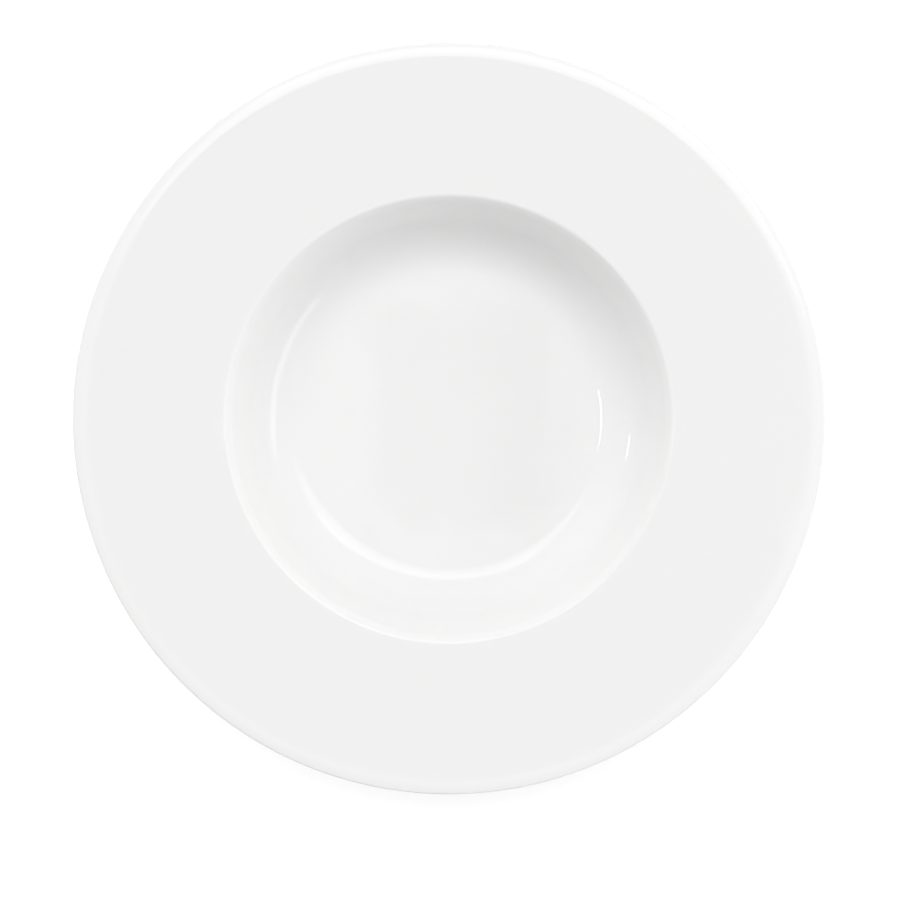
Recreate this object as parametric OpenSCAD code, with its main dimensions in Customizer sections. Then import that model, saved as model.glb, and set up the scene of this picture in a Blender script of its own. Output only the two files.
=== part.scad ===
// Deep dessert plate with a wide rim: a pressed and fired porcelain body under two coats of glaze.
// It is round about the z axis and stands on z = 0. Sizes are in millimetres, measured over the glaze.
// One section is drawn as sharp corners, each with a rounding. The body's section is the same one,
// moved in by the thickness of the glaze on every side that is glazed.

/* [Rim] */
// Diameter over the lip
plate_d = 240; // [200:1:300]
// Thickness of the rim
rim_t = 4.2; // [3.8:0.1:6]
// Rise of the rim towards the lip, in degrees
rim_angle = 2; // [0.5:0.5:6]
// Width over which the top of the lip rolls down to its edge
lip_roll_w = 3.8; // [2:0.1:5]
// Slope of the lip where the roll ends, in degrees
lip_fall = 12.5; // [6:0.5:14]
// Radius of the lip's upper edge
lip_edge_r = 0.9; // [0.7:0.1:1.3]
// Radius of the lip's lower edge
lip_under_r = 1.3; // [0.7:0.1:1.4]
// Short straight stretch between the roll and the upper edge
lip_flat = 0.2; // [0.1:0.05:0.3]

/* [Well] */
// Diameter of the well where the rim breaks into its wall
well_d = 142.6; // [120:0.2:155]
// Depth of the wall, from that break to the corner with the floor
well_depth = 26; // [25:0.5:34]
// Steepness of the wall, in degrees
wall_angle = 67; // [60:1:72]
// Thickness of the wall
wall_t = 4.4; // [3.5:0.1:6]
// Radius of the break between rim and wall
crease_r = 1.8; // [0.8:0.1:3]
// Slope that the top of the wall eases to before the break, in degrees
crease_angle = 50; // [45:1:56]
// Radius over which it eases
ease_r = 10; // [4:0.5:12]
// Short straight stretch between that radius and the break
crease_flat = 0.2; // [0.1:0.05:0.3]
// Radius under the rim, where it meets the outside of the wall
under_r = 7; // [2:0.5:7.5]
// Radius between wall and floor
floor_r = 17.8; // [10:0.2:20]
// Slope of the dished floor at its edge, in degrees
floor_slope = 2.4; // [1:0.1:4]
// Thickness of the floor in the middle
floor_t = 4.6; // [3.5:0.1:6]

/* [Foot] */
// Height of the foot ring under the base
foot_h = 3; // [2.5:0.1:5]
// Width of the foot's standing face, between its sharp corners
foot_w = 4; // [3:0.1:8]
// Steepness of the foot's two sides, in degrees
foot_angle = 72; // [60:1:80]
// Distance from the floor's edge inwards to the foot's outer root
foot_inset = 1.5; // [1.3:0.1:8]
// Radius along both edges of the standing face
foot_edge_r = 0.8; // [0.3:0.1:1]
// Radius at both roots of the foot
foot_root_r = 1.4; // [0.6:0.1:1.4]

/* [Glaze] */
// Thickness of the glaze
glaze_t = 0.3; // [0.15:0.05:0.5]
// Height of the foot that is wiped bare of glaze before firing
bare_h = 1.1; // [0.9:0.1:1.3]

/* [Hidden] */

// Furthest that a straight step of the section may stray from its true arc
arc_error = plate_d / 24000;
// Steps that the section turns in about the z axis
$fn = 240;

// Directions of the section's lines, outwards and upwards
rim_line = [cos(rim_angle), sin(rim_angle)];
crease_line = [cos(crease_angle), sin(crease_angle)];
wall_line = [cos(wall_angle), sin(wall_angle)];
floor_line = [cos(floor_slope), sin(floor_slope)];

// The top of the wall, from where it begins to ease to the break
ease_reach = ease_r * tan((wall_angle - crease_angle) / 2);
crease_reach = crease_r * tan((crease_angle - rim_angle) / 2);
ease_run = (ease_reach + crease_flat + crease_reach) * crease_line;

// The floor: a shallow dish that runs from the axis to the radius under the wall
bend_turn = wall_angle - floor_slope;
floor_corner_x = well_d / 2 - ease_run.x - (well_depth - ease_run.y) / tan(wall_angle);
floor_run = floor_corner_x / cos(floor_slope) - floor_r * tan(bend_turn / 2);
floor_edge_x = floor_run * cos(floor_slope);
dish_r = floor_run / tan(floor_slope);
floor_z = foot_h + floor_t;
dish_hub = [0, floor_z + dish_r];
axis_corner = [0, floor_z - floor_run * tan(floor_slope / 2)];
floor_corner = [floor_corner_x, axis_corner.y + floor_corner_x * tan(floor_slope)];

// The wall's top, the rim and the lip
crease = [well_d / 2, floor_corner.y + well_depth];
wall_top = crease - ease_run;
rim_end = crease + (plate_d - well_d) / 2 * [1, tan(rim_angle)];
roll_r = lip_roll_w / (sin(rim_angle) + sin(lip_fall));
roll_reach = roll_r * tan((rim_angle + lip_fall) / 2);
lip_edge_reach = lip_edge_r * tan((90 - lip_fall) / 2);
fall_run = roll_reach + lip_flat + lip_edge_reach;
lip_roll = rim_end - fall_run * cos(lip_fall) * [1, tan(rim_angle)];
lip_edge = lip_roll + fall_run * [cos(lip_fall), -sin(lip_fall)];
lip_base = rim_end - [0, rim_t / cos(rim_angle)];

// The outside of the wall and of the floor, one thickness away from the inside
wall_back = wall_top + wall_t * right(wall_line);
floor_back = floor_corner + floor_t * right(floor_line);
under_rim = meet(lip_base, rim_line, wall_back, wall_line);
shoulder = meet(wall_back, wall_line, floor_back, floor_line);
// The floor's back begins to bend up into the wall right under the place where its face does
shoulder_r = floor_r + (shoulder - floor_back) * floor_line / tan(bend_turn / 2);

// The foot ring, just inside the edge of the floor
root_x = floor_edge_x - foot_inset;
outer_root = [root_x, shoulder.y - (shoulder.x - root_x) * tan(floor_slope)];
outer_stand = [root_x - outer_root.y / tan(foot_angle), 0];
inner_stand = outer_stand - [foot_w, 0];
inner_root = [inner_stand.x - foot_h / tan(foot_angle), foot_h];

// Corners of the section over the glaze, clockwise from the floor's middle: [place, radius, glaze on the
// line to the next corner]. The standing face and the axis have no glaze.
OVER_GLAZE = [
    [axis_corner, 0, glaze_t],
    [floor_corner, floor_r, glaze_t],
    [wall_top, ease_r, glaze_t],
    [crease, crease_r, glaze_t],
    [lip_roll, roll_r, glaze_t],
    [lip_edge, lip_edge_r, glaze_t],
    [lip_base, lip_under_r, glaze_t],
    [under_rim, under_r, glaze_t],
    [shoulder, shoulder_r, glaze_t],
    [outer_root, foot_root_r, glaze_t],
    [outer_stand, foot_edge_r, 0],
    [inner_stand, foot_edge_r, glaze_t],
    [inner_root, foot_root_r, glaze_t],
    [[0, foot_h], 0, 0],
];
FLOOR_CORNER = number_of(floor_corner);
OUTER_ROOT = number_of(outer_root);
INNER_STAND = number_of(inner_stand);
INNER_ROOT = number_of(inner_root);
BASE_MIDDLE = len(OVER_GLAZE) - 1;

// The body's corners, under the glaze
BODY = [for (i = [0 : len(OVER_GLAZE) - 1]) under_glaze(OVER_GLAZE, i)];

// Where the glaze ends on the foot's two sides, over the glaze
outer_end = outer_stand + [bare_h / tan(foot_angle), bare_h];
inner_end = inner_stand + [-bare_h / tan(foot_angle), bare_h];

// Vectors a quarter turn to the right and to the left of u
function right(u) = [u.y, -u.x];
function left(u) = [-u.y, u.x];

// u turned anticlockwise by an angle
function turned(u, angle) = u * cos(angle) + left(u) * sin(angle);

// The point where the line through a along u meets the line through b along v
function meet(a, u, b, v) = a + u * cross(b - a, v) / cross(u, v);

// Steps that keep an arc of radius r within the arc error
function arc_steps(r, angle) = max(1, ceil(angle / (2 * acos(1 - arc_error / r))));

// Place of corner i, and the direction from it to the next one, counted round the section
function place(section, i) = section[(i + len(section)) % len(section)][0];
function heading(section, i) =
    let (run = place(section, i + 1) - place(section, i)) run / norm(run);

// Number of the section's corner at a place
function number_of(p) = [for (i = [0 : len(OVER_GLAZE) - 1]) if (OVER_GLAZE[i][0] == p) i][0];

// Points along the rounding of corner i
function rounding(section, i) =
    let (
        u = heading(section, i - 1),
        v = heading(section, i),
        r = section[i][1],
        turn = atan2(cross(u, v), u * v),
        spoke = -sign(turn) * r * left(u),
        hub = place(section, i) - r * tan(abs(turn) / 2) * u - spoke,
        steps = arc_steps(r, abs(turn))
    )
    [for (k = [0 : steps]) hub + turned(spoke, turn * k / steps)];

// Points along the section from corner a to corner b, with the corners rounded
function path(section, a, b) = [for (i = [a : b]) each rounding(section, i)];

// Points along the dished floor from the axis outwards, below its surface by a depth.
// The next rounding has the last one, so it is left out.
function floor_dish(depth) =
    let (r = dish_r + depth, steps = arc_steps(r, floor_slope))
    [for (k = [0 : steps - 1]) dish_hub + r * turned([0, -1], floor_slope * k / steps)];

// Corner i moved under the glaze of the two lines that meet there. Its rounding keeps its centre.
function under_glaze(section, i) =
    let (
        u = heading(section, i - 1),
        v = heading(section, i),
        before = section[(i + len(section) - 1) % len(section)][2],
        after = section[i][2],
        p = place(section, i),
        r = section[i][1] + sign(cross(u, v)) * min(before, after)
    )
    [meet(p + before * right(u), u, p + after * right(v), v), r, 0];

function reversed(points) = [for (i = [len(points) - 1 : -1 : 0]) points[i]];

// The fired clay in one piece: floor, wall, rim and foot ring, with the foot's standing face bare
module porcelain_body() {
    color("linen")
        rotate_extrude()
            polygon(concat(
                floor_dish(glaze_t),
                path(BODY, FLOOR_CORNER, INNER_ROOT),
                [place(BODY, BASE_MIDDLE)]
            ));
}

// The glaze over the face, round the lip and down the back to the foot
module glaze_coat() {
    under_end = outer_end + glaze_t * right(heading(OVER_GLAZE, OUTER_ROOT));
    color("white")
        rotate_extrude()
            polygon(concat(
                floor_dish(0),
                path(OVER_GLAZE, FLOOR_CORNER, OUTER_ROOT),
                [outer_end, under_end],
                reversed(path(BODY, FLOOR_CORNER, OUTER_ROOT)),
                reversed(floor_dish(glaze_t))
            ));
}

// The glaze on the base inside the foot, which the bare ring cuts off from the rest
module base_glaze() {
    under_end = inner_end + glaze_t * right(heading(OVER_GLAZE, INNER_STAND));
    color("white")
        rotate_extrude()
            polygon(concat(
                [under_end, inner_end],
                path(OVER_GLAZE, INNER_ROOT, INNER_ROOT),
                [place(OVER_GLAZE, BASE_MIDDLE), place(BODY, BASE_MIDDLE)],
                reversed(path(BODY, INNER_ROOT, INNER_ROOT))
            ));
}

porcelain_body();
glaze_coat();
base_glaze();
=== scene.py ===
import bpy
import numpy as np
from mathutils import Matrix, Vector


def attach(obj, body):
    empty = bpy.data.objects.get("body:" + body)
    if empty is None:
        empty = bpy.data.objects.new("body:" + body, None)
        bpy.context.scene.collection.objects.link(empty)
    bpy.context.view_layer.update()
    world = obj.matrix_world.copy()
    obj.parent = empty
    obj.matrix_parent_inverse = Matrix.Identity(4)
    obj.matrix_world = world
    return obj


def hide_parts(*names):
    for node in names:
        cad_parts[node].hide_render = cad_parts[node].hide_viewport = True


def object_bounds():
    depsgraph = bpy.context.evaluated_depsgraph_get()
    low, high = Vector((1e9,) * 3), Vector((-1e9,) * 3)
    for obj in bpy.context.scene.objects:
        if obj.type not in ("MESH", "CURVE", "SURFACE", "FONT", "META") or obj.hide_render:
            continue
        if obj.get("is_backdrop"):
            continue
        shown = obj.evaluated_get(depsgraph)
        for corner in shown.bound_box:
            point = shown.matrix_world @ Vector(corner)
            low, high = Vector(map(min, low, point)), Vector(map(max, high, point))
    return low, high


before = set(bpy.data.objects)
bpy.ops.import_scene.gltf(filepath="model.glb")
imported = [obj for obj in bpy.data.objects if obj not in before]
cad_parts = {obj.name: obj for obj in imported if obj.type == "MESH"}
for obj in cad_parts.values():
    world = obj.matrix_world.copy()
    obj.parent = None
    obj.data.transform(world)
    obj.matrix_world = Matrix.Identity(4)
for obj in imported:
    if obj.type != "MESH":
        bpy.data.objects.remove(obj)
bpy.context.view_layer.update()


# The fired body: one lump of fine white clay, pressed to shape in a mould and fired hard, with floor,
# wall, rim, lip and foot ring in one piece. Only the ring that it stands on is left bare, and that is
# ground smooth: matt, and a little warmer and greyer than the glaze that covers the rest.

# Sizes over the glaze, in metres, and angles in degrees
plate_d = 0.240
rim_t = 0.0042
rim_angle = 2.0
lip_roll_w = 0.0038
lip_fall = 12.5
lip_edge_r = 0.0009
lip_under_r = 0.0013
lip_flat = 0.0002
well_d = 0.1426
well_depth = 0.026
wall_angle = 67.0
wall_t = 0.0044
crease_r = 0.0018
crease_angle = 50.0
ease_r = 0.010
crease_flat = 0.0002
under_r = 0.007
floor_r = 0.0178
floor_slope = 2.4
floor_t = 0.0046
foot_h = 0.003
foot_w = 0.004
foot_angle = 72.0
foot_inset = 0.0015
foot_edge_r = 0.0008
foot_root_r = 0.0014
glaze_t = 0.0003
# Steps round the plate, the furthest that a step may stray from its arc, the longest straight step, and
# the furthest that rounding may shift a point off the axis
round_steps = 280
arc_error = 0.000004
longest_step = 0.004
axis_error = 1e-9
# The clay's colour and that of its scuffs, and the scale of the grain and the scuffs, in waves per metre
clay_colour = (0.80, 0.775, 0.73, 1.0)
scuff_colour = (0.60, 0.585, 0.56, 1.0)
grain_scale = 2600.0
grain_depth = 0.00006
scuff_scale = 160.0


def rise(degrees):
    """Rise per run of a line at this angle: its tangent."""
    return np.tan(np.radians(degrees))


def line(degrees):
    """Unit vector of a line at this angle above the horizontal: its cosine outwards, its sine upwards."""
    return np.array([np.cos(np.radians(degrees)), np.sin(np.radians(degrees))])


def left(u):
    """Each vector turned a quarter turn anticlockwise: (x, z) becomes (-z, x)."""
    return np.stack([-u[..., 1], u[..., 0]], axis=-1)


def cross(u, v):
    """Sine of the turn from u to v, times both their lengths."""
    return u[..., 0] * v[..., 1] - u[..., 1] * v[..., 0]


def meet(a, u, b, v):
    """Where the line from a along u meets the one from b along v: a + u cross(b - a, v) / cross(u, v)."""
    return a + u * (cross(b - a, v) / cross(u, v))[..., None]


def headings(corners):
    """Unit vectors from each corner of a path to the next: the difference of the two over its length."""
    runs = np.diff(corners, axis=0)
    return runs / np.linalg.norm(runs, axis=1, keepdims=True)


# Corners of the section as (distance from the axis, height): floor, wall's top, rim and lip, back, foot
bend_turn = wall_angle - floor_slope
ease_reach = ease_r * rise((wall_angle - crease_angle) / 2)
crease_reach = crease_r * rise((crease_angle - rim_angle) / 2)
ease_run = (ease_reach + crease_flat + crease_reach) * line(crease_angle)
floor_corner_x = well_d / 2 - ease_run[0] - (well_depth - ease_run[1]) / rise(wall_angle)
floor_run = floor_corner_x / line(floor_slope)[0] - floor_r * rise(bend_turn / 2)
axis_corner = np.array([0.0, foot_h + floor_t - floor_run * rise(floor_slope / 2)])
floor_corner = axis_corner + floor_corner_x * np.array([1.0, rise(floor_slope)])
crease = np.array([well_d / 2, floor_corner[1] + well_depth])
wall_top = crease - ease_run
rim_end = crease + (plate_d - well_d) / 2 * np.array([1.0, rise(rim_angle)])
roll_r = lip_roll_w / (line(rim_angle)[1] + line(lip_fall)[1])
roll_reach = roll_r * rise((rim_angle + lip_fall) / 2)
lip_edge_reach = lip_edge_r * rise((90 - lip_fall) / 2)
fall_run = roll_reach + lip_flat + lip_edge_reach
lip_roll = rim_end - fall_run * line(lip_fall)[0] * np.array([1.0, rise(rim_angle)])
lip_edge = lip_roll + fall_run * line(-lip_fall)
lip_base = rim_end - np.array([0.0, rim_t / line(rim_angle)[0]])
wall_back = wall_top - wall_t * left(line(wall_angle))
floor_back = floor_corner - floor_t * left(line(floor_slope))
under_rim = meet(lip_base, line(rim_angle), wall_back, line(wall_angle))
shoulder = meet(wall_back, line(wall_angle), floor_back, line(floor_slope))
shoulder_r = floor_r + (shoulder - floor_back) @ line(floor_slope) / rise(bend_turn / 2)
root_x = floor_run * line(floor_slope)[0] - foot_inset
outer_root = np.array([root_x, shoulder[1] - (shoulder[0] - root_x) * rise(floor_slope)])
outer_stand = np.array([root_x - outer_root[1] / rise(foot_angle), 0.0])
inner_stand = outer_stand - np.array([foot_w, 0.0])
inner_root = np.array([inner_stand[0] - foot_h / rise(foot_angle), foot_h])
base_middle = np.array([0.0, foot_h])

# The path begins at the floor's corner on the far side of the axis, so that the dish is a rounded corner too
mirrored = np.array([-1.0, 1.0])
over_glaze = np.array([
    floor_corner * mirrored, axis_corner, floor_corner, wall_top, crease, lip_roll, lip_edge, lip_base,
    under_rim, shoulder, outer_root, outer_stand, inner_stand, inner_root, base_middle,
])
radii = np.array([
    0.0, floor_run / rise(floor_slope), floor_r, ease_r, crease_r, roll_r, lip_edge_r, lip_under_r,
    under_r, shoulder_r, foot_root_r, foot_edge_r, foot_edge_r, foot_root_r, 0.0,
])
# Glaze on the line from each corner to the next: only the standing face has none
glazed = np.array([1, 1, 1, 1, 1, 1, 1, 1, 1, 1, 1, 0, 1, 1])


def under_coat(corners, radii, coats):
    """The same path under its coat: each line shifted to its right by the coat, each corner where the
    shifted lines meet, and each radius larger by the coat in a hollow and smaller on an edge, so that its
    hub stays."""
    u = headings(corners)
    shifted = corners[:-1] - coats[:, None] * left(u)
    inner = meet(shifted[:-1], u[:-1], shifted[1:], u[1:])
    last = corners[-1:] - coats[-1] * left(u[-1:])
    growth = np.minimum(coats[:-1], coats[1:]) * np.sign(cross(u[:-1], u[1:]))
    return np.concatenate([shifted[:1], inner, last]), radii + np.pad(growth, 1)


def counted(counts):
    """Whole numbers from 0 up, one run for each count, as long as the count: place less the run's start."""
    return np.arange(counts.sum()) - np.repeat(np.cumsum(counts) - counts, counts)


def stepped(rows):
    """The same rows, with each run between two of them cut into equal steps, none over the longest step: a
    row at share s of a run is the row before it, plus s times the difference to the row after it."""
    cuts = np.ceil(np.linalg.norm(np.diff(rows[:, :2], axis=0), axis=1) / longest_step).astype(int)
    share = counted(cuts) / np.repeat(cuts, cuts)
    where = np.append(np.repeat(np.arange(len(cuts)), cuts) + share, len(cuts))
    before = np.floor(where).astype(int)
    after = np.minimum(before + 1, len(rows) - 1)
    return rows[before] + (where - before)[:, None] * (rows[after] - rows[before])


def rounded(corners, radii):
    """A path with its corners rounded, as rows of place, outward normal and bend, from the axis on.
    The arc of a corner of radius r begins r tan(turn / 2) before the corner, its hub lies r to the side that
    the path turns to, and its points are the beginning turned about the hub by shares of the turn. The bend
    is 1 / r, above zero in a hollow and below it on an edge."""
    lines = headings(corners)
    u = lines[:-1]
    v = lines[1:]
    turn = np.arctan2(cross(u, v), np.sum(u * v, axis=1))
    r = radii[1:-1]
    begin = corners[1:-1] - (r * np.tan(np.abs(turn) / 2))[:, None] * u
    spoke = (-np.sign(turn) * r)[:, None] * left(u)
    steps = np.ceil(np.abs(turn) / (2 * np.arccos(1 - arc_error / r))).astype(int)
    # An even number of steps puts a point on the axis in the middle of the dish
    steps += steps % 2
    arc = np.repeat(np.arange(len(r)), steps + 1)
    angle = (turn[arc] * counted(steps + 1) / steps[arc])[:, None]
    place = begin[arc] - spoke[arc] + np.cos(angle) * spoke[arc] + np.sin(angle) * left(spoke)[arc]
    normal = np.cos(angle) * left(u)[arc] - np.sin(angle) * u[arc]
    bend = (np.sign(turn) / r)[arc]
    arcs = np.column_stack([place, normal, bend])
    ends = np.column_stack([corners[[0, -1]], left(lines[[0, -1]]), [0.0, 0.0]])
    rows = np.vstack([ends[:1], arcs, ends[1:]])
    return stepped(rows[rows[:, 0] > -axis_error])


def carried_round(rows):
    """Rows of (r, z) carried round the axis: a point (r cos a, r sin a, z) at each step of the angle a. The
    first and last rows lie on the axis and are single points."""
    a = np.arange(round_steps) * 2 * np.pi / round_steps
    r = rows[1:-1, :1]
    z = rows[1:-1, 1:]
    rings = np.stack(np.broadcast_arrays(r * np.cos(a), r * np.sin(a), z), axis=-1)
    return np.vstack([[0.0, 0.0, rows[0, 1]], rings.reshape(-1, 3), [0.0, 0.0, rows[-1, 1]]])


def turned(name, rows, material):
    """A closed skin of revolution: rings of quads between the rows' places, and a fan of triangles at each
    end. The normals are carried round with the places, and so is the bend, which the finish reads."""
    places = carried_round(rows[:, 0:2])
    normals = carried_round(rows[:, 2:4])
    bends = np.concatenate([rows[:1, 4], np.repeat(rows[1:-1, 4], round_steps), rows[-1:, 4]])
    here = np.arange(1, len(places) - 1).reshape(-1, round_steps)
    beside = np.roll(here, -1, axis=1)
    quads = np.stack([here[:-1], here[1:], beside[1:], beside[:-1]], axis=-1).reshape(-1, 4)
    first_point = np.zeros(round_steps, int)
    last_point = np.full(round_steps, len(places) - 1)
    first_fan = np.stack([first_point, here[0], beside[0]], axis=-1)
    last_fan = np.stack([here[-1], last_point, beside[-1]], axis=-1)
    faces = quads.tolist() + first_fan.tolist() + last_fan.tolist()
    mesh = bpy.data.meshes.new(name)
    mesh.from_pydata(places.tolist(), [], faces, shade_flat=False)
    mesh.normals_split_custom_set_from_vertices(normals.tolist())
    mesh.attributes.new("bend", "FLOAT", "POINT").data.foreach_set("value", bends.astype(np.float32))
    mesh.materials.append(material)
    piece = bpy.data.objects.new(name, mesh)
    bpy.context.scene.collection.objects.link(piece)
    return piece


def add(tree, kind, inputs, **settings):
    """Adds a node to a tree. Its settings are named by its properties, and its inputs are given by name or by
    number: a socket of another node is linked, and anything else is set as the value."""
    node = tree.nodes.new("ShaderNode" + kind)
    for key, value in settings.items():
        setattr(node, key, value)
    for key, value in inputs.items():
        if isinstance(value, bpy.types.NodeSocket):
            tree.links.new(value, node.inputs[key])
        else:
            node.inputs[key].default_value = value
    return node


def noise(tree, scale, detail):
    """Noise from 0 to 1 over the piece's own coordinates."""
    place = add(tree, "TexCoord", {}).outputs["Object"]
    return add(tree, "TexNoise", {"Vector": place, "Scale": scale, "Detail": detail}).outputs["Fac"]


def dress(tree, colour, roughness, normal):
    """Links a colour, a roughness and a normal to the material's shader."""
    shader = tree.nodes["Principled BSDF"]
    tree.links.new(colour.outputs[2], shader.inputs["Base Color"])
    tree.links.new(roughness.outputs[0], shader.inputs["Roughness"])
    tree.links.new(normal.outputs[0], shader.inputs["Normal"])


def bare_clay():
    """Bare fired clay: warm white, matt, with a fine grain, greyed by scuffs where it slides on tables."""
    material = bpy.data.materials.new("bare_clay")
    material.use_nodes = True
    tree = material.node_tree
    grain = noise(tree, grain_scale, 6.0)
    patches = noise(tree, scuff_scale, 4.0)
    scuffs = add(tree, "MapRange", {"Value": patches, "From Min": 0.52, "From Max": 0.72}).outputs[0]
    colour = add(tree, "Mix", {0: scuffs, 6: clay_colour, 7: scuff_colour}, data_type="RGBA")
    roughness = add(tree, "MapRange", {"Value": grain, "To Min": 0.55, "To Max": 0.85})
    bump = add(tree, "Bump", {"Height": grain, "Strength": 0.35, "Distance": grain_depth})
    dress(tree, colour, roughness, bump)
    return material


clay, clay_radii = under_coat(over_glaze, radii, glaze_t * glazed)
body = turned("fired_body", rounded(clay, clay_radii), bare_clay())
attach(body, "root")
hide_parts("porcelain_body")


# The coat of glaze: a clear glass over the white body, fired on in one skin over the face, round the lip
# and down the back. It pools a little in the hollows, thins over the edges, and ends in a small round
# bead on the foot, above the ring that was wiped clean before firing.

# Height of the bare part of the foot, radius of the bead's outer side, and of its side against the clay
bare_h = 0.0011
bead_r = 0.0002
bead_root_r = 0.00003
# The glaze's colour, its colour where it has pooled in full, and the least bend of such a hollow, per metre
glaze_colour = (0.900, 0.900, 0.897, 1.0)
pooled_colour = (0.886, 0.889, 0.889, 1.0)
pooled_bend = 120.0
# Scale of the faint clouds, waves and orange peel, in waves per metre, and the depth of the last two
cloud_scale = 45.0
wave_scale = 90.0
wave_depth = 0.001
peel_scale = 900.0
peel_depth = 0.0001


def white_glaze():
    """Glossy white glaze: smooth as glass, with a faint waviness and orange peel, and slightly cooler and
    greyer where the bend shows that it has pooled in a hollow."""
    material = bpy.data.materials.new("white_glaze")
    material.use_nodes = True
    tree = material.node_tree
    bend = add(tree, "Attribute", {}, attribute_name="bend").outputs["Fac"]
    hollow = add(tree, "MapRange", {"Value": bend, "From Max": pooled_bend}).outputs[0]
    clouds = noise(tree, cloud_scale, 3.0)
    pooled = add(tree, "Math", {0: hollow, 1: clouds}, operation="MULTIPLY").outputs[0]
    colour = add(tree, "Mix", {0: pooled, 6: glaze_colour, 7: pooled_colour}, data_type="RGBA")
    roughness = add(tree, "MapRange", {"Value": clouds, "To Min": 0.02, "To Max": 0.045})
    waves = noise(tree, wave_scale, 1.0)
    wavy = add(tree, "Bump", {"Height": waves, "Strength": 0.05, "Distance": wave_depth}).outputs[0]
    peel = noise(tree, peel_scale, 1.0)
    bump = add(tree, "Bump", {"Height": peel, "Strength": 0.02, "Distance": peel_depth, "Normal": wavy})
    dress(tree, colour, roughness, bump)
    return material


# The coat's section runs over the glaze to the bead, and back to the axis along the clay
coated = np.arange(len(over_glaze)) < np.flatnonzero(glazed == 0)[0]
outer_end = outer_stand + bare_h * np.array([1 / rise(foot_angle), 1.0])
outer_clay_end = outer_end - glaze_t * left(line(foot_angle + 180))
coat_corners = np.vstack([over_glaze[coated], outer_end, outer_clay_end, clay[coated][::-1]])
coat_radii = np.concatenate([radii[coated], [bead_r, bead_root_r], clay_radii[coated][::-1]])
glaze = white_glaze()
coat = turned("glaze_skin", rounded(coat_corners, coat_radii), glaze)
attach(coat, "root")
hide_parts("glaze_coat")


# The glaze on the base: a separate disc of the same glass inside the foot ring, cut off from the rest
# of the glaze by the bare ring, with a bead like the coat's all round its edge.

inner_end = inner_stand + bare_h * np.array([-1 / rise(foot_angle), 1.0])
inner_clay_end = inner_end - glaze_t * left(line(180 - foot_angle))
base_corners = np.vstack([clay[-1], clay[-2], inner_clay_end, inner_end, over_glaze[-2], over_glaze[-1]])
base_radii = np.array([0.0, clay_radii[-2], bead_root_r, bead_r, radii[-2], 0.0])
base = turned("base_skin", rounded(base_corners, base_radii), glaze)
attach(base, "root")
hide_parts("base_glaze")


# The studio: a plain white floor in a white tent of cloth, with two soft lamps over the back, a lower
# one at the right and two small ones, low at the left and over the plate. The cloth is brightest
# overhead and towards the back. The camera hangs straight above, and is dark in reflections.

# Half the floor's width, its colour, and the light that it adds where it is seen, to show as white
floor_half = 3.0
floor_colour = (0.80, 0.80, 0.80, 1.0)
floor_lift = 0.52
# Light of the cloth overhead, the height of a direction at its edge, how far back it begins, and their blurs
overhead_light = 2.46
overhead_edge = 0.70
overhead_blur = 0.10
overhead_front = 0.15
overhead_fade = 0.35
# Light of the cloth at the sides: the level direction of each glow, its least and greatest height, its light
side_glows = [
    ((0.91, -0.42), -1.0, 0.725, 1.24),
    ((-1.0, 0.0), 0.325, 0.725, 1.60),
    ((-0.77, 0.64), -1.0, 0.325, 0.81),
    ((0.50, 0.87), 0.15, 0.50, 0.30),
]
side_blur = 0.125
# Light of the cloth in reflections, and the least height at which a slope is still worked out
cloth_reflected = 0.88
least_height = 0.001
# The camera's dark body, as slopes from the vertical: its sides and ends, and the blur of its edges
dark_left = -0.0332
dark_right = 0.0227
dark_front = -0.0280
dark_back = 0.0428
dark_blur = 0.0070

floor_white = bpy.data.materials.new("floor_white")
floor_white.use_nodes = True
tree = floor_white.node_tree
tree.nodes.remove(tree.nodes["Principled BSDF"])
ray = add(tree, "LightPath", {}).outputs
first_two = {0: ray["Is Camera Ray"], 1: ray["Is Glossy Ray"]}
glossy_or_camera = add(tree, "Math", first_two, operation="MAXIMUM").outputs[0]
all_three = {0: glossy_or_camera, 1: ray["Is Transmission Ray"]}
seen = add(tree, "Math", all_three, operation="MAXIMUM").outputs[0]
lift = add(tree, "Math", {0: seen, 1: floor_lift}, operation="MULTIPLY").outputs[0]
paper = add(tree, "BsdfDiffuse", {"Color": floor_colour}).outputs[0]
lifted = add(tree, "Emission", {"Strength": lift}).outputs[0]
surface = add(tree, "AddShader", {0: paper, 1: lifted}).outputs[0]
tree.links.new(surface, tree.nodes["Material Output"].inputs["Surface"])

sides = np.array([-1.0, 1.0]) * floor_half
floor_places = np.stack(np.meshgrid(sides, sides, [0.0]), axis=-1).reshape(-1, 3)
floor_mesh = bpy.data.meshes.new("floor")
floor_mesh.from_pydata(floor_places.tolist(), [], [(0, 1, 3, 2)])
floor_mesh.materials.append(floor_white)
floor = bpy.data.objects.new("floor", floor_mesh)
bpy.context.scene.collection.objects.link(floor)
floor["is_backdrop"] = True

world = bpy.data.worlds.new("tent")
world.use_nodes = True
bpy.context.scene.world = world


def tent(kind, inputs, **settings):
    """Adds a node to the tent's light and gives its first output."""
    return add(world.node_tree, kind, inputs, **settings).outputs[0]


def times(a, b):
    """The product of two values."""
    return tent("Math", {0: a, 1: b}, operation="MULTIPLY")


def less(a, b):
    """The first value less the second."""
    return tent("Math", {0: a, 1: b}, operation="SUBTRACT")


def slope(level, upright):
    """The slope of a direction from the vertical: its level part over its height."""
    return tent("Math", {0: level, 1: upright}, operation="DIVIDE")


def beyond(value, edge, blur):
    """0 to 1 as a value passes an edge, smoothly, from one blur before it to one blur after it."""
    return tent("MapRange", {0: value, 1: edge - blur, 2: edge + blur}, interpolation_type="SMOOTHSTEP")


def between(value, low, high, blur):
    """1 between two edges and 0 outside them: beyond the low edge, less beyond the high one."""
    return less(beyond(value, low, blur), beyond(value, high, blur))


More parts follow.
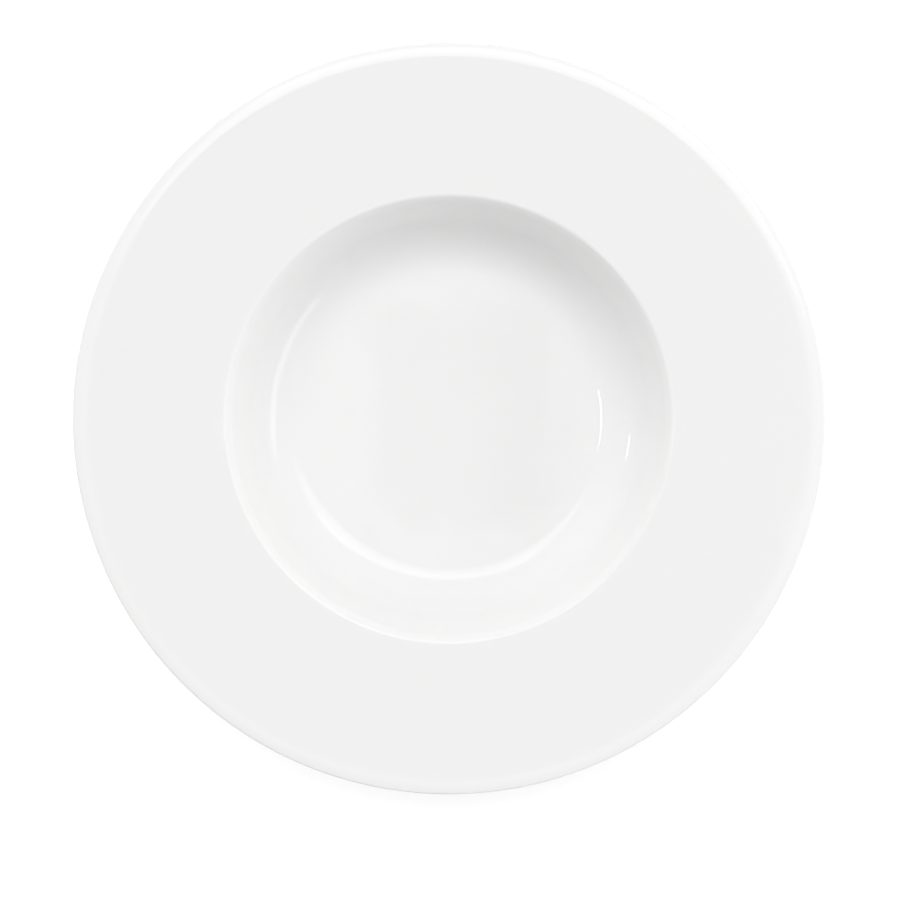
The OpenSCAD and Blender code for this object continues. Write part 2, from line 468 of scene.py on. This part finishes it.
heading = add(world.node_tree, "TexCoord", {}).outputs["Generated"]
right, back, height = add(world.node_tree, "SeparateXYZ", {0: heading}).outputs
upright = tent("Math", {0: height, 1: least_height}, operation="MAXIMUM")
dark_across = between(slope(right, upright), dark_left, dark_right, dark_blur)
dark_along = between(slope(back, upright), dark_front, dark_back, dark_blur)
reflected = times(cloth_reflected, less(1.0, times(dark_across, dark_along)))
overhead = times(beyond(height, overhead_edge, overhead_blur), beyond(back, overhead_front, overhead_fade))
cloth = times(overhead, overhead_light)
for facing, low, high, light in side_glows:
    sideways = tent("Math", {0: times(right, facing[0]), 1: times(back, facing[1])})
    glow = times(tent("MapRange", {0: sideways, 4: light}), between(height, low, high, side_blur))
    cloth = tent("Math", {0: cloth, 1: glow})
ray = add(world.node_tree, "LightPath", {}).outputs
glossy = tent("Math", {0: ray["Is Glossy Ray"], 1: ray["Is Transmission Ray"]}, operation="MAXIMUM")
inside = tent("Mix", {0: glossy, 2: cloth, 3: reflected})
strength = tent("Mix", {0: ray["Is Camera Ray"], 2: inside, 3: 1.0})
background = world.node_tree.nodes["Background"]
background.inputs["Color"].default_value = (1.0, 1.0, 1.0, 1.0)
world.node_tree.links.new(strength, background.inputs["Strength"])


def lamp(name, place, aim, size, radiance):
    """A flat soft lamp at a place, facing a point, with its width level. Its power is radiance pi area."""
    light = bpy.data.lights.new(name, "AREA")
    light.shape = "RECTANGLE"
    light.size, light.size_y = size
    light.energy = radiance * np.pi * size[0] * size[1]
    holder = bpy.data.objects.new(name, light)
    holder.location = place
    holder.rotation_euler = (Vector(aim) - Vector(place)).to_track_quat("-Z", "Y").to_euler()
    bpy.context.scene.collection.objects.link(holder)


# The two back lamps make the arc on the front of the floor's edge, which is brighter on its outer side.
# The right lamp makes the arc on its left, and the two small lamps the short streaks on its right.
lamp("near_back_lamp", (0.185, 0.355, 1.535), (0.185, 0.355, 0.0), (1.25, 0.30), 1.10)
lamp("far_back_lamp", (0.185, 0.660, 1.535), (0.185, 0.660, 0.0), (1.25, 0.31), 1.80)
lamp("right_lamp", (1.315, -0.352, 0.694), (0.0, 0.0, 0.03), (1.40, 0.36), 1.45)
lamp("low_left_lamp", (-1.275, 0.214, 0.325), (0.0, 0.0, 0.03), (0.16, 0.08), 7.5)
lamp("hanging_lamp", (-0.0501, 0.0055, 0.50), (-0.0501, 0.0055, 0.0), (0.028, 0.017), 7.5)

# The camera, straight above and a little in front of the plate's middle: the height at which the picture
# has the given width, that width, its offset from the axis, and the lens and its sensor in millimetres
view_height = 0.035
view_width = 0.2901
camera_offset = (0.00178, -0.01154)
lens = 160.0
sensor_width = 36.0
camera_data = bpy.data.cameras.new("camera")
camera_data.lens = lens
camera_data.sensor_width = sensor_width
camera_data.clip_end = 20.0
camera = bpy.data.objects.new("camera", camera_data)
camera.location = (*camera_offset, view_height + view_width * lens / sensor_width)
bpy.context.scene.collection.objects.link(camera)
bpy.context.scene.camera = camera
bpy.context.scene.view_settings.view_transform = "Standard"

low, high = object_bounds()
